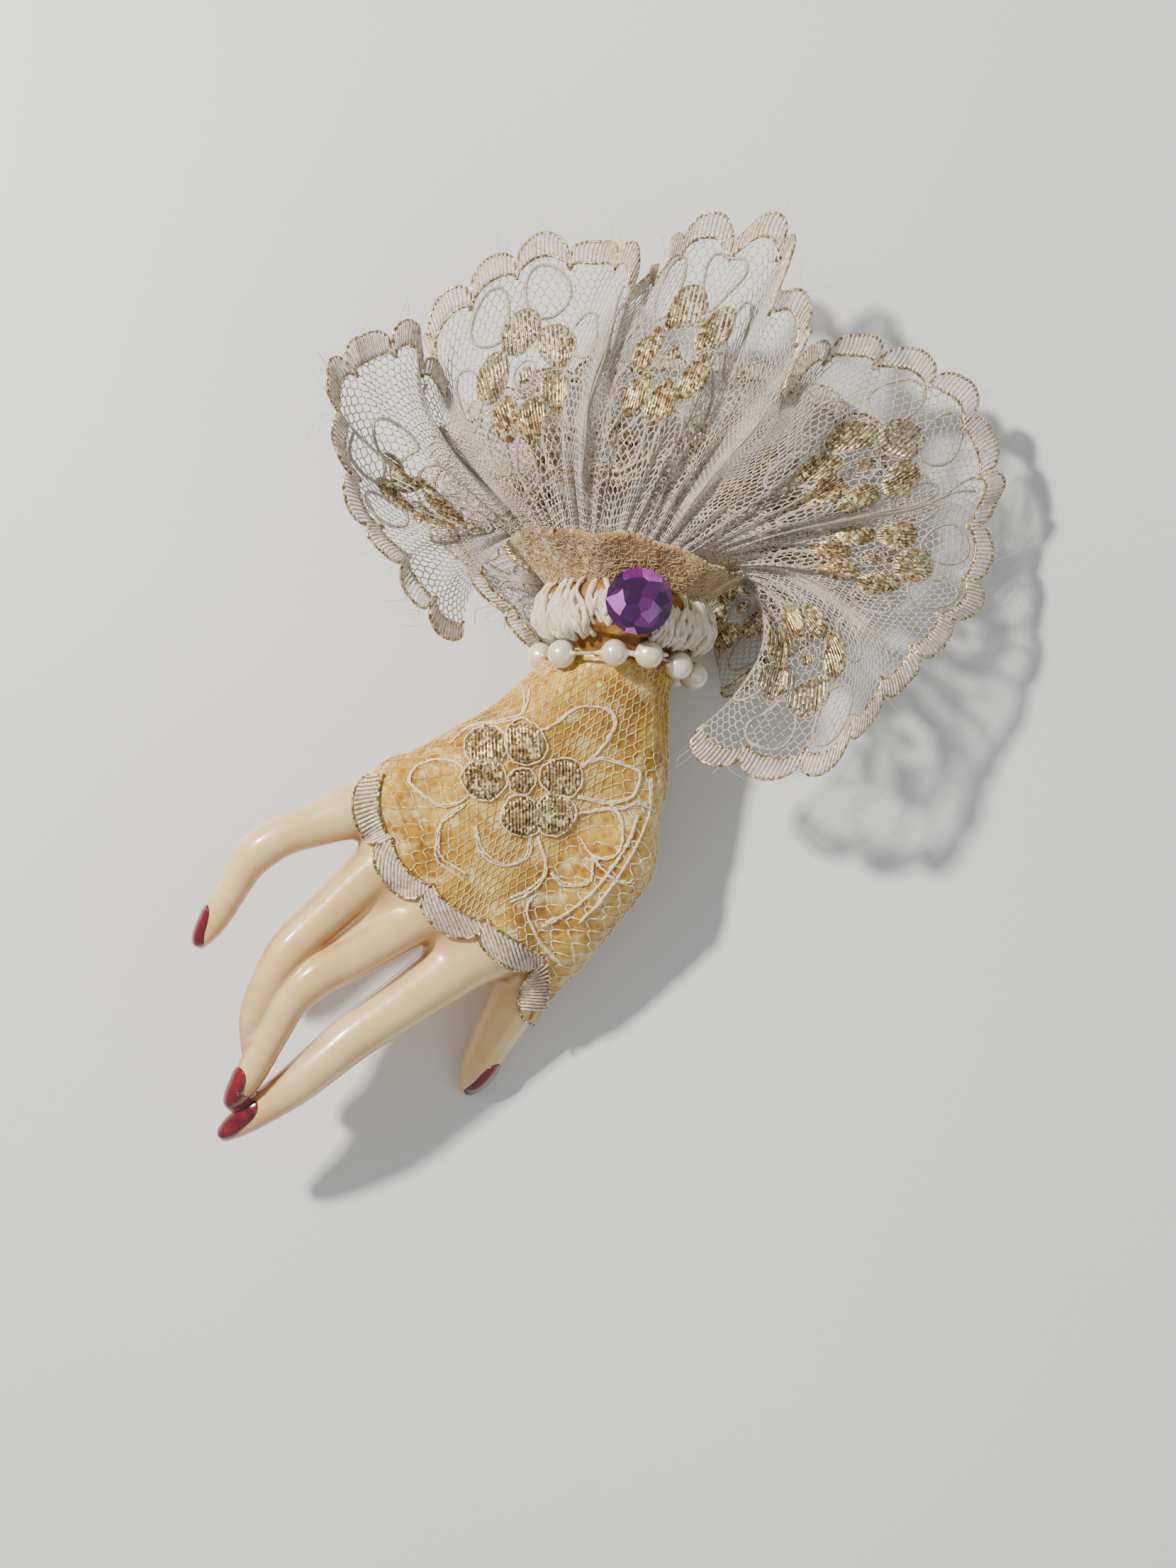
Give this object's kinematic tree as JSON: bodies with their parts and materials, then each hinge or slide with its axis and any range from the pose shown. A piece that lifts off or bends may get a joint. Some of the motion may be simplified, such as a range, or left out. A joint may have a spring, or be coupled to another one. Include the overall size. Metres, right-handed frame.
{
  "type": "hat pin",
  "caption": "Moulded lady's hand with painted nails, lace glove, pearl bracelet, faceted stone and gathered lace ruffle, on a bar pin with a roll-over lock.",
  "frame": {"origin": "the middle of the pin stem's shank, under the palm", "axes": "+X along the stem towards its point, +Y along the forearm towards the ruffle, +Z from the pin up to the back of the hand"},
  "size_m": [0.0804, 0.0897, 0.0287],
  "materials": {
    "ivory_plastic": "glossy ivory, warm in the creases",
    "nail_lacquer": "glossy deep red lacquer",
    "glove_lace": "net stuck down with yellowed glue",
    "glove_hem": "ribbed satin with a metallic outline",
    "cuff_net": "tan, fuzzy, stiff with old glue",
    "heading_cotton": "white gathered cotton",
    "lace": "off-white net lace with metallic outlines",
    "bead_thread": "cream thread",
    "pearl": "cream pearl coat",
    "purple_stone": "faceted, purple",
    "foil": "silver foil",
    "clear_glue": "hard, yellowish",
    "plated_steel": "nickel plated",
    "plated_brass": "pale plated brass",
    "stem_steel": "bright drawn wire"
  },
  "bodies": {
    "brooch": {"hand": "ivory_plastic", "nail_1": "nail_lacquer", "nail_2": "nail_lacquer", "nail_3": "nail_lacquer", "nail_4": "nail_lacquer", "nail_5": "nail_lacquer", "glove_lace": "glove_lace", "glove_hem": "glove_hem", "cuff": "cuff_net", "heading": "heading_cotton", "ruffle": "lace", "ruffle_under": "lace", "bead_thread": "bead_thread", "pearl_1": "pearl", "pearl_2": "pearl", "pearl_3": "pearl", "pearl_4": "pearl", "pearl_5": "pearl", "pearl_6": "pearl", "pearl_7": "pearl", "pearl_8": "pearl", "pearl_9": "pearl", "pearl_10": "pearl", "pearl_11": "pearl", "pearl_12": "pearl", "stone": "purple_stone", "stone_foil": "foil", "stone_glue": "clear_glue", "glue_pad": "clear_glue", "pin_bar": "plated_steel", "pin_catch": "plated_steel", "hinge_rivet": "plated_steel"},
    "stem": {"pin_stem": "stem_steel"},
    "lock": {"catch_lock": "plated_brass"}
  },
  "joints": [
    {"name": "stem_hinge", "type": "hinge", "parent": "brooch", "child": "stem", "pos_m": [-0.00815, 0, 0], "axis": [0, 1, 0], "range_deg": [0, 100]},
    {"name": "lock_turn", "type": "hinge", "parent": "brooch", "child": "lock", "pos_m": [0.0081, 0, 0], "axis": [-1, 0, 0], "range_deg": [0, 150]}
  ]
}
